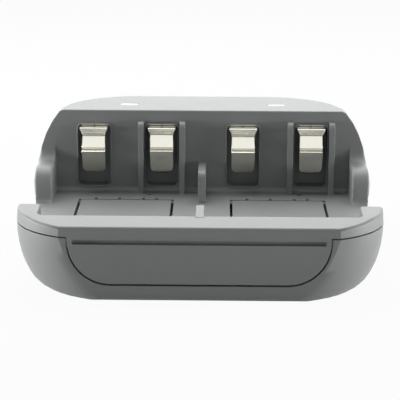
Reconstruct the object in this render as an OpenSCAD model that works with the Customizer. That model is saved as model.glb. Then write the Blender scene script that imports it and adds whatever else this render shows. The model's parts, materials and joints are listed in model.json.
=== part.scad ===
// Four bay charger for AA and AAA cells, lying on its flat back.
// +X is to the right, +Y runs from the lip to the head, +Z is up, in millimetres.
// The origin is under the middle of the case, on the surface that it lies on.

/* [Case] */
// Width across the two sides at the seam
body_w = 80; // [76:0.5:100]
// Height from the flat back to the top of the head
body_h = 28.8; // [27:0.1:36]
// Depth of the lip at the near end
lip_l = 7.1; // [6.5:0.1:12]
// Length of the bays between the lip and the head
bay_l = 54.4; // [52:0.5:66]
// Depth of the head, which holds the electronics
head_l = 26.5; // [26:0.5:40]
// Height of the ears, the wings and the bay side of the lip
rim_z = 16.5; // [15.5:0.1:18]
// How far the top of the lip slopes down to the near face
lip_drop = 0.7; // [0:0.1:1.2]
// Height of the seam between the two shells, where the case is widest
seam_z = 13.7; // [13:0.1:15]
// Width of the flat back
base_w = 67; // [60:0.5:72]
// Radius of the two corners at the lip, seen from above
near_r = 18; // [15:0.5:19]
// How far the near face cuts into those corners at the back
face_cut = 0.2; // [0.1:0.1:3]
// How far the near face leans out from the seam down to the back
face_lean = 1.5; // [0:0.1:2]
// Radius of the two corners at the head, seen from above
far_r = 18.5; // [14:0.5:19]
// Radius of the rounded sides of the head, seen from the lip
side_r = 23.2; // [21:0.1:30]
// How far the far end leans in from the seam down to the back
far_tuck = 2.5; // [1:0.5:4]
// How far the far end leans in from the seam up to the top
far_lean = 7.5; // [4:0.5:9]
// Rounding between the near face and the back
heel_r = 1.5; // [0.5:0.1:2]
// Bevel round the top of the head
top_bevel = 0.5; // [0.2:0.1:1]
// Thickness of the moulded walls
wall = 1.5; // [1.2:0.1:2]
// Gap between parts that are assembled against each other
fit = 0.1; // [0.05:0.05:0.2]
// Gap at the seam that shows round the case
seam_gap = 0.25; // [0.1:0.05:0.4]

/* [Bays] */
// Distance between the two bays of a pair
bay_pitch = 16.5; // [16:0.1:20]
// Distance between the centres of the two pairs
pair_pitch = 36.3; // [35:0.1:44]
// Height of the bay floor
floor_z = 8.6; // [8.4:0.1:9.6]
// Inner width of the bays, from one side to the other
bay_w = 71.6; // [68:0.1:90]
// How far the wings and the far divider reach out from the head
wing_l = 11.5; // [10:0.5:16]
// Radius of the hollow between the wings and the head
wing_r = 4; // [2:0.5:5]
// Rounding over the free end of a wing
wing_round = 4.5; // [2:0.5:5]
// Length of the ears and the near divider behind the lip
ear_l = 11; // [8:0.5:16]
// How much narrower the bays are between the ears
ear_in = 0.9; // [0:0.1:1]
// Rounding of the edges that face the finger gaps
gap_r = 1.6; // [0.8:0.1:2]
// Thickness of the top shell's lining at both ends of a finger gap
liner_t = 1.2; // [0.8:0.1:1.4]
// Rounding between the head wall and the bay floor
bay_r = 1.3; // [0.5:0.1:1.4]
// Thickness of the two dividers
divider_t = 1.75; // [1.2:0.05:2.5]
// Height of the divider at the head
divider_z = 16.1; // [15:0.1:24]

/* [Contacts] */
// Width of a contact window in the head wall
window_w = 7.9; // [7:0.1:9]
// Bottom of the head windows
window_z0 = 10; // [9.8:0.1:12]
// Top of the head windows
window_z1 = 25.3; // [23:0.1:26]
// Corner radius of the windows
window_r = 1.3; // [0.5:0.1:2]
// Width of the spring strips
strip_w = 5.7; // [4:0.1:6.5]
// Thickness of the nickel plated strip
strip_t = 0.4; // [0.3:0.05:0.6]
// How far a negative strip stands out of the head wall
minus_out = 3.2; // [2:0.1:4]
// How far a positive strip stands out of the head wall
plus_out = 2.4; // [1.5:0.1:3]
// Height of the crest of the head strips
crest_z = 19.2; // [17:0.1:21]
// Inner distance between the two polarity ribs of a positive bay
rib_gap = 8.75; // [8.2:0.05:9.6]
// Thickness of a polarity rib
rib_t = 1.3; // [0.8:0.1:1.6]
// How far a polarity rib stands out of the head wall
rib_out = 2.6; // [1.5:0.1:3]
// Top of the polarity ribs
rib_z = 26.2; // [22:0.1:27]
// Top of the windows in the lip wall
near_window_z = 14.2; // [13:0.1:14.2]
// How far a near strip stands out of the lip wall
near_out = 3.2; // [2:0.1:3.4]
// Depth of the closed pocket behind each head window
pocket_d = 2.2; // [2:0.1:3]

/* [Floor flaps] */
// How much wider a flap is than the distance between its two bays
flap_extra = 5.2; // [4:0.05:6]
// Length of a flap
flap_l = 19; // [15:0.1:20]
// Thickness of a flap
flap_t = 1.6; // [1.6:0.1:2]
// Distance from the head wall to the hinge edge of a flap
flap_back = 8.4; // [8:0.05:10]
// Gap beside and in front of a flap
flap_gap = 0.6; // [0.3:0.05:0.8]
// Gap between the round hinge edge of a flap and the floor
hinge_gap = 0.15; // [0.15:0.05:0.3]
// How far the flat top of a flap reaches past its hinge axis
hinge_lap = 0.5; // [0:0.1:0.5]
// Radius of the hinge pins
flap_pin_r = 0.6; // [0.5:0.05:0.65]
// Depth of the well below a flap
well_d = 1.5; // [1.3:0.1:2]

/* [Mains plug] */
// Distance between the blades
blade_pitch = 12.7; // [12.7:0.1:14]
// Width of a blade
blade_w = 6.35; // [5.8:0.05:6.4]
// Thickness of a blade
blade_t = 1.5; // [1.2:0.1:1.6]
// How far the blades stand out of the back when unfolded
blade_l = 15.9; // [14:0.1:16.2]
// Radius of the rotor that carries the blades
rotor_r = 3.7; // [3.5:0.05:3.8]
// Height of the rotor's axis above the back
rotor_z = 3.9; // [3.8:0.05:4.1]
// Distance from the far end of the case to the rotor's axis
rotor_back = 7; // [6.8:0.1:9]
// Half the length of the rotor's barrel
rotor_half = 9.2; // [8.8:0.1:9.6]
// Radius of the rotor's journals
journal_r = 1.8; // [1.4:0.1:2]

/* [Electronics] */
// Thickness of the circuit board
board_t = 1.6; // [1:0.1:2]
// Height of the underside of the circuit board
board_z = 9.6; // [9.4:0.1:10.4]
// Distance from the side of the case to the circuit board
board_side = 10; // [9.5:0.5:12]
// Distance from the head wall to the indicator windows
lamp_back = 7.5; // [6:0.1:9]
// Length of an indicator window
lamp_l = 4.6; // [3:0.1:7]
// Width of an indicator window
lamp_w = 2; // [1.5:0.1:3]

/* [Hidden] */

// Positions along the case
case_l = face_lean + lip_l + bay_l + head_l;
near_y = face_lean - case_l / 2;
far_y = case_l / 2;
lip_y = near_y + lip_l;
wall_y = lip_y + bay_l;
wing_y = wall_y - wing_l;
ear_y = lip_y + ear_l;
inner_y = wall_y + wall;
half_w = body_w / 2;
floor_t = wall;
tub_z = floor_z - floor_t;
near_back = near_r - face_cut - face_lean;
flap_w = bay_pitch + flap_extra;
pairs = [-pair_pitch / 2, pair_pitch / 2];
bays = [for (p = pairs, s = [-1, 1]) p + s * bay_pitch / 2];
positive = [false, true, false, true];
over = 1;

// Finish colours
case_grey = [0.56, 0.57, 0.565];
nickel = [0.85, 0.84, 0.78];
brass = [0.83, 0.70, 0.40];

// Shapes of the case: a level outline whose width and far end follow the height
lower_steps = 9;
upper_steps = 5;
room_steps = 3;
near_steps = 8;
far_steps = 10;
top_a = asin((body_h - seam_z) / side_r);
bevel_a = asin((body_h - top_bevel - seam_z) / side_r);

function arc(cx, cy, r, a0, a1, n) =
    [for (i = [0:n]) let (a = a0 + (a1 - a0) * i / n) [cx + r * cos(a), cy + r * sin(a)]];

function flipped(pts) = [for (i = [len(pts) - 1:-1:0]) [-pts[i].x, pts[i].y]];

// Half of a level outline, from the middle of the near face round to the far end
function half_outline(w, y0, y1, inset) =
    let (
        rn = near_r - inset,
        rf = far_r - inset,
        cy = near_y + near_back
    )
    concat(
        arc(w - rn, cy, rn, asin((y0 - cy) / rn), 0, near_steps),
        arc(w - rf, y1 - rf, rf, 0, 90, far_steps)
    );

function outline(w, y0, y1, inset) =
    let (half = half_outline(w, y0, y1, inset)) concat(half, flipped(half));

// The lower half is a quarter ellipse from the flat back out to the seam
function lower_width(t, inset) = base_w / 2 + (half_w - base_w / 2 - inset) * sin(t);
function lower_far(t, inset) = far_y - far_tuck + (far_tuck - inset) * sin(t);
function lower_height(t, inset) = inset + (seam_z - inset) * (1 - cos(t));
function lower_angle(z, inset) = acos(1 - (z - inset) / (seam_z - inset));
function near_face(z) = near_y - face_lean * min(1, (seam_z - z) / (seam_z - heel_r));
function heel_in(z) = z >= heel_r ? 0 : heel_r - sqrt(heel_r * heel_r - pow(heel_r - z, 2));

function lower_ring(t, inset) =
    let (z = lower_height(t, inset))
    [for (p = outline(lower_width(t, inset), near_face(z) + inset + heel_in(z - inset),
                      lower_far(t, inset), inset)) [p.x, p.y, z]];

// The upper half is an arc from the seam in towards the top
function upper_width(a, inset) = half_w - side_r + (side_r - inset) * cos(a);
function upper_far(a, inset) =
    far_y - inset - far_lean * (1 - cos(a)) / (1 - cos(top_a));

function upper_ring(a, inset) =
    [for (p = outline(upper_width(a, inset), near_y + inset, upper_far(a, inset), inset))
        [p.x, p.y, seam_z + (side_r - inset) * sin(a)]];

function cap_ring(inset, drop) =
    [for (p = outline(upper_width(top_a, 0) - inset, near_y + inset,
                      upper_far(top_a, 0) - inset, inset))
        [p.x, p.y, body_h - drop]];

module loft(rings) {
    n = len(rings[0]);
    m = len(rings);
    skin = [for (i = [0:m - 2], j = [0:n - 1], k = [0, 1])
        let (a = i * n + j, b = i * n + (j + 1) % n)
        k == 0 ? [a, b + n, b] : [a, a + n, b + n]];
    polyhedron(
        [for (r = rings, p = r) p],
        concat(skin,
               [[for (j = [0:n - 1]) j]],
               [[for (j = [n - 1:-1:0]) (m - 1) * n + j]])
    );
}

module lower_form(inset, steps) {
    loft([for (i = [0:steps]) lower_ring(90 * i / steps, inset)]);
}

module upper_form() {
    loft(concat([for (i = [0:upper_steps]) upper_ring(bevel_a * i / upper_steps, 0)],
                [cap_ring(top_bevel, 0)]));
}

// The room inside the head
module head_room() {
    room_a = asin((body_h - wall - seam_z) / (side_r - wall));
    loft([for (i = [0:room_steps]) upper_ring(room_a * i / room_steps, wall)]);
}

module block(lo, hi) {
    translate(lo) cube(hi - lo);
}

// A profile drawn in Y and Z, run along X
module along_x(x0, x1) {
    translate([x0, 0, 0]) rotate([90, 0, 90]) linear_extrude(x1 - x0) children();
}

// A profile drawn in X and Z, run along Y
module along_y(y0, y1) {
    translate([0, y1, 0]) rotate([90, 0, 0]) linear_extrude(y1 - y0) children();
}

module post(x, y, r, z0, z1) {
    translate([x, y, z0]) cylinder(h = z1 - z0, r = r, $fn = 40);
}

module round_rect(w, z0, z1, r) {
    polygon(concat(
        arc(w / 2 - r, z1 - r, r, 0, 90, 6),
        arc(-w / 2 + r, z1 - r, r, 90, 180, 6),
        arc(-w / 2 + r, z0 + r, r, 180, 270, 6),
        arc(w / 2 - r, z0 + r, r, 270, 360, 6)
    ));
}

// Screws join the shells at two places under the bays and two in the head
screw_r = 1.1;
screw_head_r = 2.1;
screw_head_h = 1.2;
screw_sink = 1.8;
boss_r = 3;
near_screw = [pair_pitch / 2, lip_y + ear_l];
head_screw = [15.5, wall_y + 13.7];
near_boss_z = 4.6;
head_boss_z = 8;
screw_spots = [for (s = [-1, 1], p = [near_screw, head_screw]) [s * p.x, p.y]];
function boss_top(p) = p.y < 0 ? near_boss_z : head_boss_z;

// The mains plug lies folded under the head
rotor_y = far_y - rotor_back;
turn_gap = 0.25;
chamber_r = rotor_r + turn_gap;
blade_r = rotor_z + blade_l;
slot_half = blade_t / 2 + turn_gap;
slot_wall = 0.9;
slot_z = rotor_z + blade_w / 2 + turn_gap;
block_z = rotor_z + chamber_r;
journal_l = 2;
block_half = rotor_half + journal_l + 1.6;
tip_r = blade_w / 2;
blades = [-blade_pitch / 2, blade_pitch / 2];

// The apron is the part of the top shell that fills the near face
apron_w = 55.4;
apron_z = 3.8;
apron_r = 9;
apron_gap = 0.35;
groove_z = 12.1;
groove_h = 0.9;
groove_d = 1;
groove_in = 0.9;

module apron_outline(grow) {
    w = apron_w / 2 + grow;
    r = apron_r + grow;
    polygon(concat(
        arc(w - r, apron_z + apron_r, r, 0, -90, 10),
        arc(-w + r, apron_z + apron_r, r, -90, -180, 10),
        [[-w, seam_z + over], [w, seam_z + over]]
    ));
}

// The finger gaps are open from the floor up, with rounded edges towards wing and ear
module gap_outline(grow, drop) {
    y0 = ear_y - grow;
    y1 = wing_y + grow;
    top = rim_z;
    bottom = floor_z - drop - grow;
    polygon(concat(
        arc(y0 - gap_r, top - gap_r, gap_r, 90, 0, 6),
        arc(y0 + gap_r, bottom + gap_r, gap_r, 180, 270, 6),
        arc(y1 - gap_r, bottom + gap_r, gap_r, 270, 360, 6),
        arc(y1 + wing_round, top - wing_round, wing_round, 180, 90, 10),
        [[y1 + wing_round, top + wing_r], [y0 - gap_r, top + wing_r]]
    ));
}

// Side view of the mass above the seam
module upper_side() {
    polygon(concat(
        [[near_y - over, seam_z], [near_y - over, rim_z - lip_drop * (1 + over / lip_l)],
         [lip_y, rim_z]],
        arc(wall_y - wing_r, rim_z + wing_r, wing_r, -90, 0, 8),
        [[wall_y, body_h + over], [far_y + over, body_h + over], [far_y + over, seam_z]]
    ));
}

cavity_inset = 2 * wall - 0.4;
cavity_t = lower_angle(floor_z, cavity_inset);

module bay_cavity() {
    translate([0, 0, floor_z]) linear_extrude(body_h)
        intersection() {
            polygon(outline(lower_width(cavity_t, cavity_inset), near_y + cavity_inset,
                            far_y, cavity_inset));
            union() {
                translate([-bay_w / 2, ear_y]) square([bay_w, bay_l - ear_l]);
                translate([ear_in - bay_w / 2, lip_y]) square([bay_w - 2 * ear_in, bay_l]);
            }
        }
}

// Flap places
hinge_y = wall_y - flap_back - flap_t / 2;
hinge_z = floor_z - flap_t / 2;
flap_front = wall_y - flap_back - flap_l;
well_half = flap_w / 2 + flap_gap;
well_y0 = flap_front - flap_gap;
well_y1 = wall_y - flap_back + hinge_gap;
well_z = floor_z - flap_t - well_d;
well_t = 1;
pin_fit = 0.15;
terminal_w = 2.4;
terminal_in = 1.5;
terminal_x = bay_pitch / 2 - terminal_in;
knuckles = [-7.3, -1.7, 4.1, 7.3];
notch_w = 0.7;
notch_l = 1.4;
test_hole = [5.5, 3.1];
test_hole_r = 0.5;

module flap_well(p) {
    difference() {
        block([p - well_half - well_t, well_y0 - well_t, well_z - well_t],
              [p + well_half + well_t, well_y1 + well_t, tub_z + floor_t / 2]);
        block([p - well_half, well_y0, well_z],
              [p + well_half, well_y1, floor_z + over]);
    }
}

module lamp_outline(grow) {
    r = lamp_w / 2 + grow;
    for (s = [-1, 1]) translate([s * (lamp_l - lamp_w) / 2, 0]) circle(r = r, $fn = 32);
    square([lamp_l - lamp_w, 2 * r], center = true);
}

module top_shell() {
    color(case_grey) {
        difference() {
            union() {
                intersection() {
                    upper_form();
                    along_x(-body_w, body_w) upper_side();
                }
                intersection() {
                    lower_form(wall + fit, 6);
                    block([-body_w, lip_y - wall, tub_z], [body_w, inner_y, seam_z + over]);
                }
                intersection() {
                    lower_form(0, lower_steps);
                    block([-body_w, ear_y - liner_t, tub_z],
                          [body_w, wing_y + liner_t, seam_z + over]);
                    along_x(-body_w, body_w) gap_outline(liner_t, floor_t - liner_t);
                }
                apron();
                for (p = pairs) flap_well(p);
            }
            bay_cavity();
            for (s = [-1, 1])
                along_x(s > 0 ? bay_w / 2 - 2 * wall : -body_w, s > 0 ? body_w : -bay_w / 2 + 2 * wall)
                    gap_outline(0, 0);
            intersection() {
                head_room();
                block([-body_w, inner_y, 0], [body_w, far_y, body_h]);
            }
            block([-apron_w / 2 + wall, near_y + wall, apron_z],
                  [apron_w / 2 - wall, lip_y - wall, rim_z - lip_drop - wall]);
            for (x = bays) {
                along_y(wall_y - over, inner_y + over) translate([x, 0])
                    round_rect(window_w, window_z0, window_z1, window_r);
                along_y(lip_y - wall - over, lip_y + over) translate([x, 0])
                    round_rect(window_w, floor_z + 0.6, near_window_z, window_r);
            }
            for (p = pairs) {
                block([p - well_half, well_y0, well_z],
                      [p + well_half, well_y1, floor_z + over]);
                translate([p - well_half - well_t - over, hinge_y, hinge_z])
                    rotate([0, 90, 0])
                        cylinder(h = 2 * (well_half + well_t + over),
                                 r = flap_pin_r + pin_fit, $fn = 32);
                for (s = [-1, 1])
                    block([p + s * terminal_x - terminal_w / 2 - fit, well_y1 - over, well_z],
                          [p + s * terminal_x + terminal_w / 2 + fit, well_y1 + well_t + over,
                           tub_z]);
                for (k = knuckles)
                    block([p + k - notch_w / 2, well_y1 - over, hinge_z],
                          [p + k + notch_w / 2, well_y1 + notch_l, floor_z + over]);
                post(p + test_hole.x, wall_y - test_hole.y, test_hole_r, 0, floor_z + over);
                translate([p, wall_y + lamp_back, body_h - 2 * wall])
                    linear_extrude(3 * wall) lamp_outline(fit);
            }
            along_y(near_y - face_lean - over, near_y + groove_d)
                round_rect(apron_w - 2 * groove_in, groove_z, groove_z + groove_h, groove_h / 3);
        }
        dividers();
        contact_pockets();
        window_beads();
        along_x(-bay_w / 2 - wall / 2, bay_w / 2 + wall / 2)
            polygon(concat(
                [[wall_y + wall / 2, floor_z + bay_r], [wall_y + wall / 2, floor_z - floor_t / 2],
                 [wall_y - bay_r, floor_z - floor_t / 2]],
                arc(wall_y - bay_r, floor_z + bay_r, bay_r, 270, 360, 6)
            ));
        for (i = [0:3]) if (positive[i]) polarity_ribs(bays[i]);
        top_bosses();
    }
}

// The apron follows the leaning near face of the bottom shell
module apron() {
    intersection() {
        difference() {
            lower_form(0, lower_steps);
            lower_form(wall, 6);
        }
        along_y(near_y - face_lean - over, near_y + wall) apron_outline(0);
    }
}

// A thin raised bead runs round each head window
bead_w = 0.4;
bead_h = 0.3;

module window_beads() {
    for (x = bays)
        along_y(wall_y - bead_h, wall_y + fit) translate([x, 0])
            difference() {
                round_rect(window_w + 2 * bead_w, window_z0 - bead_w, window_z1 + bead_w,
                           window_r + bead_w);
                round_rect(window_w, window_z0, window_z1, window_r);
            }
}

// Each head window opens into a small closed box, so nothing behind it shows
pocket_t = 0.9;
pocket_back = inner_y + pocket_d + pocket_t;

module contact_pockets() {
    half = window_w / 2;
    for (x = bays)
        difference() {
            block([x - half - pocket_t, inner_y - wall / 2, window_z0 - pocket_t],
                  [x + half + pocket_t, pocket_back, window_z1]);
            block([x - half, inner_y, window_z0],
                  [x + half, inner_y + pocket_d, window_z1 + over]);
            along_y(wall_y, inner_y + over) translate([x, 0])
                round_rect(window_w, window_z0, window_z1, window_r);
        }
}

module dividers() {
    t = divider_t / 2;
    along_x(-t, t)
        polygon(concat(
            [[wall_y + wall / 2, floor_z - floor_t / 2], [wing_y, floor_z - floor_t / 2]],
            arc(wing_y + gap_r, divider_z - gap_r, gap_r, 180, 90, 6),
            [[wall_y + wall / 2, divider_z]]
        ));
    along_x(-t, t)
        polygon(concat(
            [[lip_y - wall / 2, floor_z - floor_t / 2], [lip_y - wall / 2, rim_z]],
            arc(ear_y - gap_r, rim_z - gap_r, gap_r, 90, 0, 6),
            [[ear_y, floor_z - floor_t / 2]]
        ));
}

module polarity_ribs(x) {
    for (s = [-1, 1])
        translate([x + s * (rib_gap + rib_t) / 2, 0, 0])
            along_x(-rib_t / 2, rib_t / 2)
                polygon(concat(
                    [[wall_y + wall / 2, floor_z - floor_t / 2],
                     [wall_y - rib_out, floor_z - floor_t / 2]],
                    arc(wall_y - rib_out + rib_t, rib_z - rib_t, rib_t, 180, 90, 6),
                    [[wall_y + wall / 2, rib_z]]
                ));
}

pilot_r = 0.9;

module top_bosses() {
    for (p = screw_spots) {
        top = p.y < 0 ? floor_z - floor_t / 2 : body_h - wall / 2;
        difference() {
            post(p.x, p.y, boss_r, boss_top(p) + fit, top);
            post(p.x, p.y, pilot_r + 0.2, 0, boss_top(p) + (p.y < 0 ? 3 : 8));
        }
    }
}

module bottom_shell() {
    color(case_grey * 0.97)
    difference() {
        union() {
            difference() {
                lower_form(0, lower_steps);
                lower_form(wall, 6);
                block([-body_w, near_y - over, seam_z - seam_gap],
                      [body_w, far_y + over, seam_z + over]);
            }
            intersection() {
                lower_form(wall / 2, 6);
                union() {
                    for (p = screw_spots) post(p.x, p.y, boss_r, 0, boss_top(p));
                    plug_housing();
                    board_posts();
                }
            }
        }
        along_y(near_y - face_lean - over, near_y + wall + over) apron_outline(apron_gap);
        for (s = [-1, 1])
            along_x(s > 0 ? base_w / 2 : -body_w, s > 0 ? body_w : -base_w / 2)
                gap_outline(liner_t + fit, floor_t - liner_t);
        for (p = screw_spots) {
            post(p.x, p.y, screw_head_r + fit, -over, screw_sink + screw_head_h);
            post(p.x, p.y, screw_r + fit, 0, body_h);
        }
        plug_room();
    }
}

module plug_housing() {
    block([-block_half, rotor_y - chamber_r - slot_wall, 0],
          [block_half, far_y, block_z]);
    difference() {
        for (x = blades)
            along_x(x - slot_half - slot_wall, x + slot_half + slot_wall) {
                translate([rotor_y - blade_r + tip_r, rotor_z])
                    circle(r = tip_r + turn_gap + slot_wall, $fn = 48);
                translate([rotor_y - blade_r + tip_r, 0])
                    square([blade_r - tip_r, slot_z + slot_wall]);
                translate([rotor_y - blade_r - turn_gap - slot_wall, 0])
                    square([blade_r, rotor_z]);
            }
        block([-body_w, near_y, tub_z - fit], [body_w, inner_y + fit, body_h]);
    }
}

module plug_room() {
    // The blades' slots, open along the back
    for (x = blades)
        along_x(x - slot_half, x + slot_half) {
            translate([rotor_y - blade_r + tip_r, rotor_z])
                circle(r = tip_r + turn_gap, $fn = 48);
            translate([rotor_y - blade_r + tip_r, -over])
                square([blade_r - tip_r, slot_z + over]);
            translate([rotor_y - blade_r - turn_gap, -over])
                square([blade_r, rotor_z + over]);
        }
    // The rotor's chamber, with its opening in the back and its bearings
    half = rotor_half + turn_gap;
    translate([-half, rotor_y, rotor_z]) rotate([0, 90, 0])
        cylinder(h = 2 * half, r = chamber_r, $fn = 64);
    block([-half, rotor_y - chamber_r, rotor_z], [half, rotor_y + chamber_r, body_h]);
    block([-half, rotor_y - chamber_r, -over], [half, rotor_y + tip_r + turn_gap, rotor_z]);
    journal = half + journal_l;
    translate([-journal, rotor_y, rotor_z]) rotate([0, 90, 0])
        cylinder(h = 2 * journal, r = journal_r + pin_fit, $fn = 32);
    block([-journal, rotor_y - journal_r - pin_fit, rotor_z],
          [journal, rotor_y + journal_r + pin_fit, body_h]);
}

post_r = 1.6;
post_in = 3.5;
post_spots = [for (s = [-1, 1], y = [pocket_back + 3, far_y - 8])
    [s * (half_w - board_side - post_in), y]];

module board_posts() {
    for (p = post_spots) post(p.x, p.y, post_r, 0, board_z);
}

// A strip of sheet metal, bent along a path in Y and Z
function side_of(path, i, d) =
    let (
        a = path[max(i - 1, 0)],
        b = path[min(i + 1, len(path) - 1)],
        v = (b - a) / norm(b - a)
    )
    path[i] + d * [-v.y, v.x];

module strip(path, x, w) {
    n = len(path) - 1;
    along_x(x - w / 2, x + w / 2)
        polygon(concat(
            [for (i = [0:n]) side_of(path, i, strip_t / 2)],
            [for (i = [n:-1:0]) side_of(path, i, -strip_t / 2)]
        ));
}

plate_y = inner_y + fit + strip_t / 2;
plate_top = window_z1 + 1.2;
plate_half = window_w / 2 - 0.3;
shoulder_z = window_z1 - 2;
leg_w = 1.8;
leg_in = window_w / 2 + pocket_t + 2 * fit + leg_w / 2;
foot_l = 1.6;
step = 0.35;
out_z = 0.75;
lean_out = 1.1;
tip_z = window_z0 + 3.2;
tip_round = 1.7;

function pair_of(x) = x < 0 ? pairs[0] : pairs[1];

// Seen from the lip: a wide plate that narrows at the shoulder to a strip with a round end
module contact_outline() {
    half = strip_w / 2;
    polygon(concat(
        [[-plate_half, plate_top], [-plate_half, window_z1 - fit], [-half, shoulder_z]],
        arc(-half + tip_round, tip_z + tip_round, tip_round, 180, 270, 6),
        arc(half - tip_round, tip_z + tip_round, tip_round, 270, 360, 6),
        [[half, shoulder_z], [plate_half, window_z1 - fit], [plate_half, plate_top]]
    ));
}

// Head contact: a plate behind the wall, a crested strip through the window and a leg
module head_contact(x, out) {
    crest_y = wall_y - out + strip_t / 2;
    path = concat(
        [[plate_y, plate_top], [plate_y, window_z1 - out_z], [wall_y - bead_h, window_z1 - out_z],
         [wall_y - lean_out, shoulder_z], [wall_y - lean_out, shoulder_z - step],
         [crest_y + step, crest_z + 2 * step], [crest_y + step, crest_z + step],
         [crest_y, crest_z]],
        arc(wall_y + 0.9, tip_z + 1.2, 1.2, 200, 290, 5)
    );
    leg_x = x + sign(pair_of(x) - x) * leg_in;
    leg_lo = [leg_x - leg_w / 2, plate_y - strip_t / 2, board_z + board_t + fit];
    color(nickel) {
        intersection() {
            strip(path, x, 2 * plate_half);
            along_y(wall_y - 2 * out, inner_y + pocket_d) translate([x, 0]) contact_outline();
        }
        block([min(x, leg_lo.x), leg_lo.y, window_z1 + fit],
              [max(x, leg_lo.x + leg_w), leg_lo.y + strip_t, plate_top]);
        block(leg_lo, [leg_lo.x + leg_w, leg_lo.y + strip_t, plate_top]);
        block(leg_lo, [leg_lo.x + leg_w, board_y0 + foot_l, leg_lo.z + strip_t]);
    }
}

tail_z = 3.5;
tail_pitch = 8.5;
tail_w = 2;
tail_end = pocket_back + 1;
tail_rise = tail_end + 2.4;

// Near contact: a bowed strip in the lip wall and a long tail under the floor to the board
module near_contact(x) {
    base_y = lip_y - wall - fit - strip_t / 2;
    tail_x = pair_of(x) + sign(x - pair_of(x)) * tail_pitch / 2;
    path = concat(
        [[base_y, tub_z], [base_y, floor_z + 1.4], [lip_y + 0.3, floor_z + 2.2]],
        arc(lip_y + near_out - 0.9, near_window_z - 1.9, 0.9, -35, 50, 5),
        [[lip_y - wall / 2, near_window_z - 0.3 - strip_t]]
    );
    tail = [[base_y, tub_z + 1.5], [base_y, tail_z], [tail_rise, tail_z],
            [tail_rise, board_z - fit]];
    color(nickel) {
        strip(path, x, strip_w);
        strip(tail, tail_x, tail_w);
        block([min(x, tail_x), base_y - strip_t / 2, tub_z],
              [max(x, tail_x), base_y + strip_t / 2, tub_z + 1.5]);
    }
}

// Floor flap: a plate with a round hinge edge, two pins and a thumb notch
thumb_r = 5;
thumb_d = 1.4;
play = 0.05;

module flap(p) {
    color(case_grey)
    difference() {
        union() {
            along_x(p - flap_w / 2, p + flap_w / 2) {
                translate([hinge_y, hinge_z]) circle(r = flap_t / 2 - play, $fn = 32);
                translate([flap_front, floor_z - flap_t])
                    square([hinge_y - flap_front, flap_t - play]);
                translate([hinge_y, hinge_z]) square([hinge_lap, flap_t / 2 - play]);
            }
            translate([p - well_half - well_t, hinge_y, hinge_z]) rotate([0, 90, 0])
                cylinder(h = 2 * (well_half + well_t), r = flap_pin_r, $fn = 32);
        }
        post(p, flap_front - thumb_r + thumb_d, thumb_r, 0, body_h);
        for (s = [-1, 1])
            block([p + s * bay_pitch / 2 - aaa_w / 2 - fit, hinge_y - strap_l - fit,
                   floor_z - flap_t - over],
                  [p + s * bay_pitch / 2 + aaa_w / 2 + fit, hinge_y - strap_in + fit,
                   floor_z - flap_t + strip_t + fit / 2]);
    }
}

// The face that a raised flap turns to a AAA cell, with the cell's axis above the floor
aaa_axis = 5.25 + flap_t / 2;
aaa_w = 4;
bump_r = 1.6;
bump_back = 1.1;
strap_in = 1.2;
strap_l = 11.5;

module flap_contact(x) {
    z = floor_z - flap_t + strip_t / 2;
    s = hinge_y - aaa_axis;
    dip = asin(bump_back / bump_r);
    path = concat(
        [[hinge_y - strap_in, z]],
        arc(s, z + bump_back, bump_r, -dip, dip - 180, 8),
        [[hinge_y - strap_l, z]]
    );
    color(nickel) strip(path, x, aaa_w);
}

module flap_terminal(x) {
    z = well_z + 0.7;
    path = [[tail_end, board_z - fit], [tail_end, z], [well_y1 + well_t + 0.6, z],
            [well_y1 - 0.2, z + 0.2]];
    color(nickel) strip(path, x, terminal_w);
}

// Light pipe: an oblong rod with a collar under the top of the head
led_h = 1.9;

module light_pipe(p) {
    y = wall_y + lamp_back;
    color([0.93, 0.94, 0.92]) {
        translate([p, y, board_z + board_t + led_h + 0.3])
            linear_extrude(body_h - board_z - board_t - led_h - 0.3) lamp_outline(0);
        translate([p, y, body_h - wall - fit - 1.2]) linear_extrude(1.2) lamp_outline(0.7);
    }
}

module led(p) {
    y = wall_y + lamp_back;
    color([0.9, 0.9, 0.85])
        block([p - 1.6, y - 1, board_z + board_t], [p + 1.6, y + 1, board_z + board_t + led_h]);
}

board_half = half_w - board_side;
board_y0 = pocket_back + fit;
board_y1 = far_y - wall - 2.2;

module circuit_board() {
    r = 9;
    color([0.12, 0.42, 0.25])
    difference() {
        translate([0, 0, board_z])
            linear_extrude(board_t)
                polygon(concat(
                    [[-board_half, board_y0], [board_half, board_y0]],
                    arc(board_half - r, board_y1 - r, r, 0, 90, 6),
                    arc(-board_half + r, board_y1 - r, r, 90, 180, 6)
                ));
        for (p = screw_spots) if (p.y > 0)
            post(p.x, p.y, boss_r + 3 * fit, 0, body_h);
    }
}

top_z = board_z + board_t;
wound = [-1, wall_y + 12.2];

module transformer() {
    core = [13, 11, 9.5];
    bobbin = [9.6, 14.4, 7];
    color([0.25, 0.22, 0.18])
        translate([wound.x - core.x / 2, wound.y - core.y / 2, top_z]) cube(core);
    color([0.75, 0.62, 0.25])
        translate([wound.x - bobbin.x / 2, wound.y - bobbin.y / 2, top_z + 1]) cube(bobbin);
}

module can(x, y, r, h) {
    post(x, y, r, top_z, top_z + h);
}

module input_capacitor() {
    color([0.12, 0.12, 0.14]) can(-23.2, wall_y + 14.8, 4, 11.5);
}

module output_capacitor() {
    color([0.12, 0.12, 0.14]) can(23.2, wall_y + 14.8, 3.2, 9);
}

module fuse() {
    color([0.8, 0.8, 0.78])
        translate([-12, wall_y + 21, top_z + 1.6]) rotate([0, 90, 0])
            cylinder(h = 9, r = 1.6, $fn = 32);
}

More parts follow.
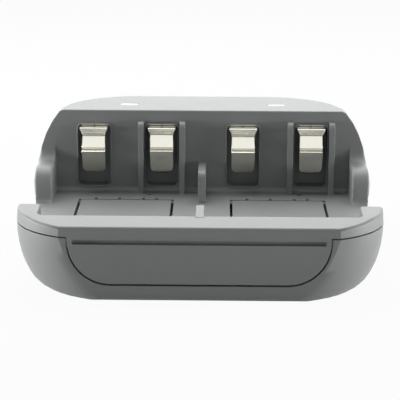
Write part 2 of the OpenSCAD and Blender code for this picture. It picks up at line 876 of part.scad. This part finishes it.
module controller_chip() {
    legs = 4;
    leg_pitch = 1.27;
    color([0.08, 0.08, 0.09])
        block([8, wall_y + 6.2, top_z + 0.3], [13, wall_y + 10.2, top_z + 1.8]);
    color(nickel)
        for (i = [0:legs - 1])
            translate([8.4 + leg_pitch * i, wall_y + 5.4, top_z]) cube([0.4, 5.6, 0.5]);
}

// Plug rotor: a barrel with two journals and a slot for each blade
module plug_rotor() {
    color([0.16, 0.16, 0.17])
    difference() {
        translate([0, rotor_y, rotor_z]) rotate([0, 90, 0])
            union() {
                translate([0, 0, -rotor_half])
                    cylinder(h = 2 * rotor_half, r = rotor_r, $fn = 64);
                journal = rotor_half + turn_gap + journal_l - fit;
                translate([0, 0, -journal])
                    cylinder(h = 2 * journal, r = journal_r, $fn = 32);
            }
        for (x = blades)
            block([x - blade_t / 2, rotor_y - body_h, rotor_z - blade_w / 2],
                  [x + blade_t / 2, rotor_y + blade_w / 2, rotor_z + blade_w / 2]);
    }
}

module plug_blade(x) {
    color(brass)
    along_x(x - blade_t / 2, x + blade_t / 2) {
        translate([rotor_y - blade_r + tip_r, rotor_z]) circle(r = tip_r, $fn = 48);
        translate([rotor_y - blade_r + tip_r, rotor_z - tip_r])
            square([blade_r - tip_r + 1.6, blade_w]);
    }
}

module plug_terminal(x) {
    path = [[rotor_y - 4.4, board_z - fit], [rotor_y - 4.4, block_z + 1.2],
            [rotor_y + 0.4, block_z + 0.3]];
    color(brass) strip(path, x, 2);
}

module plug_retainer() {
    z0 = block_z + fit;
    leg_half = journal_r - 0.1;
    half = rotor_half + turn_gap;
    color([0.75, 0.75, 0.72])
    difference() {
        union() {
            block([-block_half, rotor_y - chamber_r, z0],
                  [block_half, rotor_y + chamber_r - 0.4, z0 + 0.9]);
            for (s = [-1, 1])
                block([s > 0 ? half + fit : -half - journal_l + fit, rotor_y - leg_half,
                       rotor_z + journal_r + pin_fit],
                      [s > 0 ? half + journal_l - fit : -half - fit, rotor_y + leg_half, z0]);
        }
        for (x = blades)
            block([x - 1.5, rotor_y - 4.8, 0], [x + 1.5, rotor_y + 1.4, body_h]);
    }
}

// One screw: a pan head below and a shank up into the boss of the top shell
module screw(p) {
    z = screw_sink;
    h = boss_top(p) + (p.y < 0 ? 2.4 : 6);
    difference() {
        union() {
            post(p.x, p.y, screw_head_r, z, z + screw_head_h);
            post(p.x, p.y, pilot_r, z, h);
        }
        for (a = [0, 90])
            translate([p.x, p.y, z]) rotate(a)
                cube([2.4, 0.6, 1.2], center = true);
    }
}

module housing_screws() {
    color([0.6, 0.6, 0.62])
        for (p = screw_spots) screw(p);
}

bottom_shell();
top_shell();
head_contact(bays[0], minus_out);  // head_contact_1
head_contact(bays[1], plus_out);  // head_contact_2
head_contact(bays[2], minus_out);  // head_contact_3
head_contact(bays[3], plus_out);  // head_contact_4
near_contact(bays[0]);  // near_contact_1
near_contact(bays[1]);  // near_contact_2
near_contact(bays[2]);  // near_contact_3
near_contact(bays[3]);  // near_contact_4
flap(pairs[0]);  // flap_left
flap(pairs[1]);  // flap_right
flap_contact(bays[0]);  // flap_contact_1
flap_contact(bays[1]);  // flap_contact_2
flap_contact(bays[2]);  // flap_contact_3
flap_contact(bays[3]);  // flap_contact_4
flap_terminal(pairs[0] - terminal_x);  // flap_terminal_1
flap_terminal(pairs[0] + terminal_x);  // flap_terminal_2
flap_terminal(pairs[1] - terminal_x);  // flap_terminal_3
flap_terminal(pairs[1] + terminal_x);  // flap_terminal_4
light_pipe(pairs[0]);  // light_pipe_left
light_pipe(pairs[1]);  // light_pipe_right
led(pairs[0]);  // led_left
led(pairs[1]);  // led_right
circuit_board();
transformer();
input_capacitor();
output_capacitor();
fuse();
controller_chip();
plug_rotor();
plug_blade(blades[0]);  // plug_blade_left
plug_blade(blades[1]);  // plug_blade_right
plug_terminal(blades[0]);  // plug_terminal_left
plug_terminal(blades[1]);  // plug_terminal_right
plug_retainer();
housing_screws();
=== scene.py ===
# %% [markdown]
# # A battery charger with four open bays
#
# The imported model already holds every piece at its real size: two moulded shells, the
# leaf contacts, the floor flaps, the folding plug and the board inside. This lesson gives
# those pieces their finish: rounded mould edges, grained plastic, nickel plated strip,
# and a soft studio round them. Every piece keeps its place and its size. Two details are
# drawn on the way: the pressed creases of the head contacts, and a little room for a
# radius beside the window beads.

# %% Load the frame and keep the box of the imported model
import json
import math

import bmesh
import bpy
from mathutils import Matrix, Vector

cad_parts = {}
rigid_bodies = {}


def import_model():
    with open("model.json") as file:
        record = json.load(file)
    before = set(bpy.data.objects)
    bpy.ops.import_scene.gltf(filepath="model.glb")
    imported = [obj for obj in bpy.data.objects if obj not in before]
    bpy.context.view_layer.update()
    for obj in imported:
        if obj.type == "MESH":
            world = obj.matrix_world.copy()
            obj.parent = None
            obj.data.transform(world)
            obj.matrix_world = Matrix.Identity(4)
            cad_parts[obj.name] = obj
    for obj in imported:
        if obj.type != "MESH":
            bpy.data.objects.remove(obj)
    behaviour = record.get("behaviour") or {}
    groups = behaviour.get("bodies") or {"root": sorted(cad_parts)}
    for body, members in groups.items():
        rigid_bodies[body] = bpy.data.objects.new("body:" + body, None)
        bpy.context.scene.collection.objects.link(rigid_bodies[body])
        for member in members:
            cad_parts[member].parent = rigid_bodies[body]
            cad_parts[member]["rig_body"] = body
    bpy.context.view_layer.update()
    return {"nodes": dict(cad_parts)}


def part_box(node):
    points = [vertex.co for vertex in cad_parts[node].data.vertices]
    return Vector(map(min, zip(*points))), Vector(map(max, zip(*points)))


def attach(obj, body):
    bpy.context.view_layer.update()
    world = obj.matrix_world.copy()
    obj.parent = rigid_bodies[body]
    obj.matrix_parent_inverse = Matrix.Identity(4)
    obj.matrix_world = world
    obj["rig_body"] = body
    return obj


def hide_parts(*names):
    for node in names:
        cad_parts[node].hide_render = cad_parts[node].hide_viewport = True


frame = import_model()

# %% [markdown]
# Sizes on a moulded product are given in millimetres, and Blender counts in metres, so one
# value turns the first into the second. Colours are written as the hex values that a
# designer would read off a chip, and one function turns them to linear light.

# %% Units and colours
MM = 0.001


def linear(hex_colour):
    """The linear colour of an sRGB hex value such as "8c8f8e"."""
    channels = [int(hex_colour[i:i + 2], 16) / 255 for i in (0, 2, 4)]
    light = [c / 12.92 if c <= 0.04045 else ((c + 0.055) / 1.055) ** 2.4 for c in channels]
    return (*light, 1)


print("a mid grey in linear light:", linear("8c8f8e")[:3])

# %% [markdown]
# The camera stands where the photograph was taken from: low in front of the lip, about
# four hundred millimetres away, with a long lens. The bays' parallel walls meet at one
# point of the picture, which gives the turn, and the slope of the lip gives the roll.
# Three turns in a row, each about one axis, aim the camera and stay easy to read.

# %% Camera
CAMERA_PLACE = (3.6 * MM, -381.75 * MM, 106.9 * MM)
CAMERA_PITCH = 14.1  # degrees, like the turn and the roll
CAMERA_TURN = 0.59
CAMERA_ROLL = 0.3
CAMERA_LENS = 151.0  # millimetres, on a sensor as wide as a full frame camera's
SENSOR_WIDTH = 36.0
CLIP_START = 10 * MM

camera_data = bpy.data.cameras.new("camera")
camera_data.lens = CAMERA_LENS
camera_data.sensor_width = SENSOR_WIDTH
camera_data.clip_start = CLIP_START
camera = bpy.data.objects.new("camera", camera_data)
bpy.context.scene.collection.objects.link(camera)
camera.location = CAMERA_PLACE
camera.rotation_euler = (
    Matrix.Rotation(math.radians(CAMERA_TURN), 3, "Z")
    @ Matrix.Rotation(math.radians(90 - CAMERA_PITCH), 3, "X")
    @ Matrix.Rotation(math.radians(CAMERA_ROLL), 3, "Z")
).to_euler()
bpy.context.scene.camera = camera
bpy.context.scene.view_settings.view_transform = "Standard"
print("camera looks down by", CAMERA_PITCH, "degrees")

# %% [markdown]
# A material is a small graph of nodes. One helper adds a node, sets its sockets and
# links what feeds them, so that each material below reads as a list of its layers.

# %% Helpers for materials


def add(tree, kind, inputs=None, **settings):
    """Add a node, set its properties, and fill its sockets with values or linked outputs."""
    made = tree.nodes.new(kind)
    for name, value in settings.items():
        setattr(made, name, value)
    for name, value in (inputs or {}).items():
        socket = made.inputs[name]
        if isinstance(value, bpy.types.NodeSocket):
            tree.links.new(value, socket)
        else:
            socket.default_value = value
    return made


def new_material(name):
    """An empty node material, and its tree."""
    made = bpy.data.materials.new(name)
    made.use_nodes = True
    made.node_tree.nodes.clear()
    return made, made.node_tree


def close(tree, shader):
    """Link a shader to the material's output."""
    add(tree, "ShaderNodeOutputMaterial", {"Surface": shader.outputs[0]})


print("helpers for materials:", add.__name__, new_material.__name__, close.__name__)

# %% [markdown]
# The charger lies on seamless white paper. To the eye, straight or in the nickel, the
# paper is nearly white by itself. To the light it is a pale matt sheet, which catches the
# shadow and throws a little light back up. From below it is clear, so that the charger's
# flat back can be looked at. The world behind it is white in the same way.

# %% Paper floor and world
FLOOR_SIZE = 6000 * MM
PAPER_GREY = "d4d4d4"
PAPER_WHITENESS = 0.95
WORLD_STRENGTH = 0.07
WHITE = "ffffff"

floor_mesh = bpy.data.meshes.new("floor")
floor_shape = bmesh.new()
bmesh.ops.create_grid(floor_shape, x_segments=1, y_segments=1, size=FLOOR_SIZE / 2)
floor_shape.to_mesh(floor_mesh)
floor_shape.free()
floor = bpy.data.objects.new("floor", floor_mesh)
bpy.context.scene.collection.objects.link(floor)


def seen_directly(tree):
    """1 for rays that show the background to the eye, straight or in a mirror or glass."""
    ray = add(tree, "ShaderNodeLightPath").outputs
    mirrored = add(tree, "ShaderNodeMath", {0: ray["Is Camera Ray"], 1: ray["Is Glossy Ray"]},
                   operation="MAXIMUM")
    return add(tree, "ShaderNodeMath", {0: mirrored.outputs[0], 1: ray["Is Transmission Ray"]},
               operation="MAXIMUM").outputs[0]


paper, tree = new_material("seamless_paper")
seen = add(tree, "ShaderNodeMath", {0: seen_directly(tree), 1: PAPER_WHITENESS},
           operation="MULTIPLY")
matt = add(tree, "ShaderNodeBsdfDiffuse", {"Color": linear(PAPER_GREY)})
white = add(tree, "ShaderNodeEmission", {"Color": linear(WHITE), "Strength": 1.0})
upper = add(tree, "ShaderNodeMixShader",
            {0: seen.outputs[0], 1: matt.outputs[0], 2: white.outputs[0]})
below = add(tree, "ShaderNodeNewGeometry").outputs["Backfacing"]
clear = add(tree, "ShaderNodeBsdfTransparent")
close(tree, add(tree, "ShaderNodeMixShader",
                {0: below, 1: upper.outputs[0], 2: clear.outputs[0]}))
floor.data.materials.append(paper)

world = bpy.data.worlds.new("studio")
bpy.context.scene.world = world
world.use_nodes = True
sky = world.node_tree
sky.nodes.clear()
level = add(sky, "ShaderNodeMapRange",
            {"Value": seen_directly(sky), "To Min": WORLD_STRENGTH, "To Max": 1.0})
glow = add(sky, "ShaderNodeBackground", {"Color": linear(WHITE), "Strength": level.outputs[0]})
add(sky, "ShaderNodeOutputWorld", {"Surface": glow.outputs[0]})
print("paper is", FLOOR_SIZE, "m wide, world strength", WORLD_STRENGTH)

# %% [markdown]
# The tops of the charger are pale, the faces towards the camera are dim, and the rounded
# flanks brighten again. A big softbox above and behind gives the first two, and a low one
# at each side lights the flanks. A pale card far behind lights nothing: it is only
# mirrored by the top of the head, which the camera sees at a flat angle.

# %% Lamps


def softbox(name, place, target, width, height, watts):
    """A rectangular area lamp that looks at a point, with places and sizes in millimetres."""
    data = bpy.data.lights.new(name, "AREA")
    data.shape = "RECTANGLE"
    data.size = width * MM
    data.size_y = height * MM
    data.energy = watts
    lamp = bpy.data.objects.new(name, data)
    bpy.context.scene.collection.objects.link(lamp)
    lamp.location = [c * MM for c in place]
    lamp.rotation_euler = (Vector(target) - Vector(place)).to_track_quat("-Z", "Y").to_euler()
    return lamp


softbox("overhead", (-40, 175, 290), (0, 20, 0), width=400, height=400, watts=1.72)
softbox("left_side", (-500, 0, 32), (0, 0, 10), width=400, height=60, watts=2.2)
softbox("right_side", (500, 0, 32), (0, 0, 10), width=400, height=60, watts=2.0)
card = softbox("back_card", (0, 600, 160), (0, 30, 28), width=1000, height=260, watts=0.95)
card.visible_diffuse = False
card.visible_camera = False
print("lamps:", [lamp.name for lamp in bpy.data.lights])

# %% [markdown]
# The case is ABS, injection moulded in a spark eroded tool. Such a surface has a fine,
# even grain of about a tenth of a millimetre, which takes the shine off it: the eye sees
# a soft satin, a little paler at grazing angles. The grain is drawn at 0.25 mm, as
# coarse as it needs to be to show, and a slow tone change keeps large faces alive. The
# flaps and the plug's black rotor come out of finer tools, so they are a little smoother,
# and so is the pressed epoxy of the chip. The plug's retainer is left undyed.

# %% ABS case plastic
GRAIN = 0.25 * MM
GRAIN_DEPTH = 0.02 * MM
GRAIN_STRENGTH = 0.5
TONE_DRIFT = 22 * MM  # the size of the patches of slightly paler plastic
SHEEN_DRIFT = 6 * MM  # and of the slightly shinier ones
SHEEN_SWING = 0.04
ABS_IOR = 1.53


def spark_grain(tree):
    """The normal of a spark eroded surface, from noise on object coordinates."""
    where = add(tree, "ShaderNodeTexCoord").outputs["Object"]
    noise = add(tree, "ShaderNodeTexNoise",
                {"Vector": where, "Scale": 1 / GRAIN, "Detail": 2.0, "Roughness": 0.6})
    bump = add(tree, "ShaderNodeBump", {"Height": noise.outputs[0], "Strength": GRAIN_STRENGTH,
                                        "Distance": GRAIN_DEPTH})
    return bump.outputs[0]


def drifting_tone(tree, where, patch, detail, dark, pale):
    """A colour that drifts between two close ones in patches of a given size."""
    drift = add(tree, "ShaderNodeTexNoise",
                {"Vector": where, "Scale": 1 / patch, "Detail": detail})
    tone = add(tree, "ShaderNodeMix",
               {"Factor": drift.outputs[0], "A": linear(dark), "B": linear(pale)},
               data_type="RGBA")
    return tone.outputs["Result"]


def moulded_plastic(name, dark, pale, roughness):
    """A grained moulding whose tone drifts slowly between two close colours."""
    made, tree = new_material(name)
    where = add(tree, "ShaderNodeTexCoord").outputs["Object"]
    tone = drifting_tone(tree, where, TONE_DRIFT, 3.0, dark, pale)
    sheen = add(tree, "ShaderNodeTexNoise",
                {"Vector": where, "Scale": 1 / SHEEN_DRIFT, "Detail": 4.0})
    rough = add(tree, "ShaderNodeMapRange",
                {"Value": sheen.outputs[0], "To Min": roughness - SHEEN_SWING,
                 "To Max": roughness + SHEEN_SWING})
    close(tree, add(tree, "ShaderNodeBsdfPrincipled",
                    {"Base Color": tone, "Roughness": rough.outputs[0], "IOR": ABS_IOR,
                     "Normal": spark_grain(tree)}))
    return made


case_abs = moulded_plastic("abs_spark_grained_grey", "8c908f", "949796", roughness=0.48)
flap_abs = moulded_plastic("abs_flap_grey", "8b8f8e", "939695", roughness=0.46)
rotor_abs = moulded_plastic("abs_rotor_black", "2a2b2c", "303132", roughness=0.42)
retainer_abs = moulded_plastic("abs_retainer_natural", "c4c2b6", "cdcbc0", roughness=0.5)
chip_epoxy = moulded_plastic("epoxy_chip_black", "1c1c1e", "242426", roughness=0.4)
print("case plastic grain", GRAIN / MM, "mm")

# %% [markdown]
# The contacts are spring steel strip, rolled, plated with nickel and stamped. Nickel is
# a slightly warm white metal, and the rolling leaves faint streaks along the strip, so
# the noise that drives the roughness is stretched along the strip's run. The plug's
# blades are brass under the same plating, its terminals are bare brass, which looks
# yellow, and the screws are steel under bluish zinc, which is duller than nickel.

# %% Nickel plated strip and other metals
STREAK = 0.12 * MM
STREAK_DEPTH = 0.01 * MM
STREAK_STRENGTH = 0.25
STREAK_SHINE = 0.05  # how much smoother a streak can be than the strip
STREAK_DULL = 0.07  # and how much rougher


def rolled_metal(name, colour, roughness, stretch):
    """A metal with streaks: noise squeezed across the rolling direction."""
    made, tree = new_material(name)
    where = add(tree, "ShaderNodeTexCoord").outputs["Object"]
    along = add(tree, "ShaderNodeMapping", {"Vector": where, "Scale": stretch})
    streak = add(tree, "ShaderNodeTexNoise",
                 {"Vector": along.outputs[0], "Scale": 1 / STREAK, "Detail": 3.0})
    rough = add(tree, "ShaderNodeMapRange",
                {"Value": streak.outputs[0], "To Min": roughness - STREAK_SHINE,
                 "To Max": roughness + STREAK_DULL})
    bump = add(tree, "ShaderNodeBump", {"Height": streak.outputs[0], "Strength": STREAK_STRENGTH,
                                        "Distance": STREAK_DEPTH})
    close(tree, add(tree, "ShaderNodeBsdfPrincipled",
                    {"Base Color": linear(colour), "Metallic": 1.0, "Roughness": rough.outputs[0],
                     "Normal": bump.outputs[0]}))
    return made


# Stretch is how fast the noise runs along x, y and z: the smaller, the longer the streaks
nickel = rolled_metal("nickel_plated_strip", "eeece0", roughness=0.19, stretch=(1.0, 0.04, 0.04))
blade_nickel = rolled_metal("nickel_plated_blade", "d2cfc2", roughness=0.2,
                            stretch=(1.0, 0.05, 0.6))
terminal_brass = rolled_metal("rolled_brass", "d1ac62", roughness=0.3, stretch=(1.0, 0.05, 0.05))
zinc_steel = rolled_metal("zinc_plated_steel", "b9bcc0", roughness=0.34, stretch=(1.0, 1.0, 0.2))
print("streaks", STREAK / MM, "mm wide")

# %% [markdown]
# Light pipes are milky polycarbonate, polished on top, so a little light goes through
# them. The board is glass epoxy under a green solder mask, which is a clear lacquer over
# the colour, and so it gets a coat. The capacitors wear a shrunk black sleeve, the
# transformer is wound with amber tape, the fuse is glazed ceramic, and the indicators are
# white epoxy. They are hardly seen, but each still has its own finish.

# %% Light pipe, board and components
GLOSS_IOR = 1.5


def plain_gloss(name, dark, pale, roughness, patch, transmission=0.0, coat=0.0):
    """A smooth moulded or lacquered finish with a small change of tone."""
    made, tree = new_material(name)
    where = add(tree, "ShaderNodeTexCoord").outputs["Object"]
    tone = drifting_tone(tree, where, patch, 2.0, dark, pale)
    close(tree, add(tree, "ShaderNodeBsdfPrincipled",
                    {"Base Color": tone, "Roughness": roughness, "IOR": GLOSS_IOR,
                     "Transmission Weight": transmission, "Coat Weight": coat}))
    return made


milky = plain_gloss("polycarbonate_milky", "eef1ec", "f6f8f4", roughness=0.22, patch=1 * MM,
                    transmission=0.25)
solder_mask = plain_gloss("solder_mask_green", "1d5a33", "26693c", roughness=0.3, patch=2 * MM,
                          coat=0.4)
sleeve = plain_gloss("shrunk_sleeve_black", "17181b", "1f2024", roughness=0.28, patch=3 * MM)
led_body = plain_gloss("led_package_white", "e6e4d6", "efeee4", roughness=0.3, patch=1 * MM)
winding_tape = plain_gloss("winding_tape_amber", "b58b2c", "c59a3a", roughness=0.35,
                           patch=0.4 * MM)
fuse_ceramic = plain_gloss("fuse_ceramic", "d6d2c4", "dfdbcf", roughness=0.35, patch=1 * MM)
print("materials:", len(bpy.data.materials))

# %% [markdown]
# Neither a mould nor a press makes a sharp edge, so every outer edge of the real pieces
# has a radius, from a twentieth of a millimetre on thin strip to a few tenths where a hand
# or an outlet wears it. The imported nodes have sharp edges. A merged copy of each node
# takes a bevel, limited to edges that really turn, and weighted normals keep the flats
# flat. Blender's clamp on a bevel is set by the shortest edge of the whole mesh, which on
# a lofted shell is a sliver, so the clamp is off and the radii are kept small.

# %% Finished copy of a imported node
MERGE_DISTANCE = 0.001 * MM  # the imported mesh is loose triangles, so equal points are merged
FLAT_ANGLE = 0.4  # degrees under which two triangles belong to one flat face
TURN = 28  # degrees from which two faces meet in an edge that takes a radius
RIM_RADIUS = 0.6  # millimetres, for the softer edges
RIM_SEGMENTS = 4
FLAT_WEIGHT = 80  # how much a large face outweighs a small one in the normals


def add_bevel(piece, name, width, segments, **settings):
    """A bevel modifier of a width in millimetres."""
    bevel = piece.modifiers.new(name, "BEVEL")
    bevel.width = width * MM
    bevel.segments = segments
    bevel.miter_outer = "MITER_ARC"
    bevel.use_clamp_overlap = False
    for key, value in settings.items():
        setattr(bevel, key, value)


def finished(node, finish, edge, segments=2, share=None, shaping=None):
    """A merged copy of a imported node, with its edges rounded, in place of that node.

    share gives the part of RIM_RADIUS that an edge is rounded by before the others, and
    shaping changes the copy first."""
    shape = bmesh.new()
    shape.from_mesh(frame["nodes"][node].data)
    bmesh.ops.remove_doubles(shape, verts=shape.verts, dist=MERGE_DISTANCE)
    bmesh.ops.dissolve_limit(shape, angle_limit=math.radians(FLAT_ANGLE), verts=shape.verts,
                             edges=shape.edges)
    if shaping:
        shaping(shape)
    if share:
        weight = shape.edges.layers.float.new("bevel_weight_edge")
        for line in shape.edges:
            line[weight] = share(line)
        softer = sum(line[weight] > 0 for line in shape.edges)
        print(node, "has", softer, "edges with a larger radius")
    for face in shape.faces:
        face.smooth = True
        face.material_index = 0
    mesh = bpy.data.meshes.new(node + "_finished")
    shape.to_mesh(mesh)
    shape.free()
    if "custom_normal" in mesh.attributes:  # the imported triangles' own, which would look flat
        mesh.attributes.remove(mesh.attributes["custom_normal"])
    mesh.materials.clear()
    mesh.materials.append(finish)
    piece = bpy.data.objects.new(node + "_finished", mesh)
    bpy.context.scene.collection.objects.link(piece)
    if share:
        add_bevel(piece, "rim_radius", RIM_RADIUS, RIM_SEGMENTS, limit_method="WEIGHT")
    add_bevel(piece, "mould_radius", edge, segments, limit_method="ANGLE",
              angle_limit=math.radians(TURN))
    normals = piece.modifiers.new("flat_faces", "WEIGHTED_NORMAL")
    normals.keep_sharp = True
    normals.weight = FLAT_WEIGHT
    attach(piece, frame["nodes"][node]["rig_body"])
    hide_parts(node)


print("edges that turn by more than", TURN, "degrees take a radius")

# %% [markdown]
# Three edges of the upper shell are softer than the rest, because a hand meets them: the
# outer rim round the lip and the ears, the ends of the finger gaps, and the front edge of
# the head. Each is known by its place and by the way its two faces look, so a function
# reads both and gives the edge its share of the larger radius. At the ends of a finger
# gap the share fades out towards the floor, where the radius would cut into its curve.

# %% Softer edges of the upper shell
# Places, in millimetres
RIM_Z = (15.4, 19.0)  # heights between which the outer rim runs
SIDE_X = 30.0  # the ears and the wings lie further out than this
LIP_DEPTH = 3.0  # the front of the lip lies this close to the shell's near end
GAP_X = 34.0  # the finger gaps lie further out than this
GAP_Y = (-27.0, 14.0)  # and between these two, from the lip's side to the head's
GAP_Z = 9.1  # the height at which the share of a gap's end starts
GAP_FADE = 1.3  # and how much higher it is full
WALL_Y = 18.25  # the head wall with the windows
HEAD_Z = 28.0  # the head's front edge is higher than this
HEAD_REACH = 0.1  # and this close to the wall
HEAD_SHARE = 0.6  # its part of the larger radius
# How far a face looks one way, as the part of its normal that points there
OUTWARD = 0.3
LIP_TOP_UP = 0.3
RIM_TILT = 0.25
LIP_FRONT = 0.7
GAP_END_SIDEWAYS = 0.4
FLANK_SIDEWAYS = 0.6
HEAD_TOP_UP = 0.9
HEAD_WALL_UP = 0.2
lip_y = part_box("top_shell")[0][1] / MM + LIP_DEPTH


def is_rim(line, middle):
    """Whether an edge runs round the outside of the lip, the ears or the wings."""
    outer, upper = sorted((face.normal for face in line.link_faces), key=lambda normal: normal.z)
    outward = outer.x * middle.x + outer.y * middle.y > OUTWARD * math.hypot(middle.x, middle.y)
    near_end = outer.y < -LIP_FRONT and middle.y < lip_y
    return (upper.z > LIP_TOP_UP and abs(outer.z) < RIM_TILT and RIM_Z[0] < middle.z < RIM_Z[1]
            and outward and (abs(middle.x) > SIDE_X or near_end))


def is_gap_end(line, middle):
    """Whether an edge stands at an end of a finger gap, between its end face and a flank."""
    end_face, flank = sorted(abs(face.normal.x) for face in line.link_faces)
    return (end_face < GAP_END_SIDEWAYS and flank > FLANK_SIDEWAYS and abs(middle.x) > GAP_X
            and middle.z > GAP_Z and GAP_Y[0] < middle.y < GAP_Y[1])


def is_head_edge(line, middle):
    """Whether an edge is the front edge of the head, over the windows."""
    low, high = sorted(face.normal.z for face in line.link_faces)
    return (high > HEAD_TOP_UP and low < HEAD_WALL_UP and middle.z > HEAD_Z
            and abs(middle.y - WALL_Y) < HEAD_REACH)


def rim_share(line):
    """1 on the outer rim and at the finger gaps, less on the head's front edge, else 0."""
    middle = (line.verts[0].co + line.verts[1].co) / (2 * MM)
    if not line.is_convex:
        return 0.0
    if is_rim(line, middle):
        return 1.0
    if is_gap_end(line, middle):
        return min(1.0, (middle.z - GAP_Z) / GAP_FADE)
    return HEAD_SHARE if is_head_edge(line, middle) else 0.0


print("the lip's outer edge lies before y =", round(lip_y, 2), "mm")

# %% [markdown]
# A narrow bead runs round each contact window. In the second and fourth bays a polarity
# rib stands only 0.025 mm from it, which leaves no room for a radius. So the bead's outer
# edge is drawn in by a fifth of a millimetre, in all four bays alike. After that both
# shells are finished, with a radius of about a tenth on all their other edges.

# %% Window beads, then both shells
PAIR_X = 18.15  # from the middle of the case to the middle of a pair of bays
BAY_PITCH = 16.5
BEAD_X = (4.0, 4.36)  # the points of a bead's outer edge, from the middle of its bay
BEAD_Y = (WALL_Y - 0.4, WALL_Y + 0.1)
BEAD_SHIFT = 0.2
bay_centres = [pair * PAIR_X + half * BAY_PITCH / 2 for pair in (-1, 1) for half in (-1, 1)]


def clear_beads(shape):
    """Draw the outer edge of each window bead in, so that a radius fits beside it."""
    for centre in bay_centres:
        for side in (-1, 1):
            points = [v for v in shape.verts
                      if BEAD_X[0] < side * (v.co.x / MM - centre) < BEAD_X[1]
                      and BEAD_Y[0] < v.co.y / MM < BEAD_Y[1]]
            bmesh.ops.translate(shape, verts=points, vec=(-side * BEAD_SHIFT * MM, 0, 0))


finished("top_shell", case_abs, edge=0.08, share=rim_share, shaping=clear_beads)
finished("bottom_shell", case_abs, edge=0.12)
print("bay centres in mm:", [round(centre, 2) for centre in bay_centres])

# %% [markdown]
# The flaps, light pipes, indicators and the folding plug come in pairs, one on each side,
# so one loop finishes both. A flap has to lie flush in its slot, and so its radius is
# small, while the ends of a blade are well rounded to find their way into an outlet.

# %% Pieces that come in pairs
for side in ("left", "right"):
    finished(f"flap_{side}", flap_abs, edge=0.1)
    finished(f"light_pipe_{side}", milky, edge=0.1)
    finished(f"led_{side}", led_body, edge=0.1)
    finished(f"plug_blade_{side}", blade_nickel, edge=0.25)
    finished(f"plug_terminal_{side}", terminal_brass, edge=0.05)

# %% [markdown]
# A head contact is a leaf spring that was pressed in steps: it comes out over the window's
# edge, turns down at a square shoulder, runs out to the crest that touches the cell, and
# falls back. The press leaves a crease under the shoulder and one over the crest, which
# turn away from the light and show as dark lines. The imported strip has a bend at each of
# these heights, so moving a bend's points out from the wall or in presses the shape.
#
# The contacts of the lip end in tails so narrow that a radius of more than a twentieth of
# a millimetre would fold over itself, so theirs is the smallest.

# %% Contacts of the four bays
# From height, to height, and how far the points between them move out from the wall, in mm
CONTACT_BENDS = {"top bend": (24.3, 24.8, 1.52), "shoulder": (23.1, 23.5, 0.6),
                 "shoulder crease": (22.8, 23.05, -0.3), "crest crease": (19.4, 19.7, -0.58)}
CONTACT_FACE_Y = 18.1  # the strip in front of this is free of the window


def creased(shape):
    """Press the bends and creases of a head contact."""
    for low, high, out in CONTACT_BENDS.values():
        points = [v for v in shape.verts
                  if low * MM < v.co.z < high * MM and v.co.y < CONTACT_FACE_Y * MM]
        bmesh.ops.translate(shape, verts=points, vec=(0, -out * MM, 0))


for bay in (1, 2, 3, 4):
    finished(f"head_contact_{bay}", nickel, edge=0.17, segments=3, shaping=creased)
    finished(f"near_contact_{bay}", nickel, edge=0.05)
    finished(f"flap_contact_{bay}", nickel, edge=0.08)
    finished(f"flap_terminal_{bay}", nickel, edge=0.05)
print("pressed:", list(CONTACT_BENDS))

# %% [markdown]
# What is left is the board with its components, the plug's rotor and retainer, and the
# screws. Wound and sleeved parts have soft edges, and stamped or moulded ones crisper.

# %% Board, components and fasteners
finished("circuit_board", solder_mask, edge=0.1)
finished("transformer", winding_tape, edge=0.3)
finished("input_capacitor", sleeve, edge=0.4, segments=3)
finished("output_capacitor", sleeve, edge=0.4, segments=3)
finished("fuse", fuse_ceramic, edge=0.2)
finished("controller_chip", chip_epoxy, edge=0.08)
finished("plug_rotor", rotor_abs, edge=0.2)
finished("plug_retainer", retainer_abs, edge=0.15)
finished("housing_screws", zinc_steel, edge=0.08)
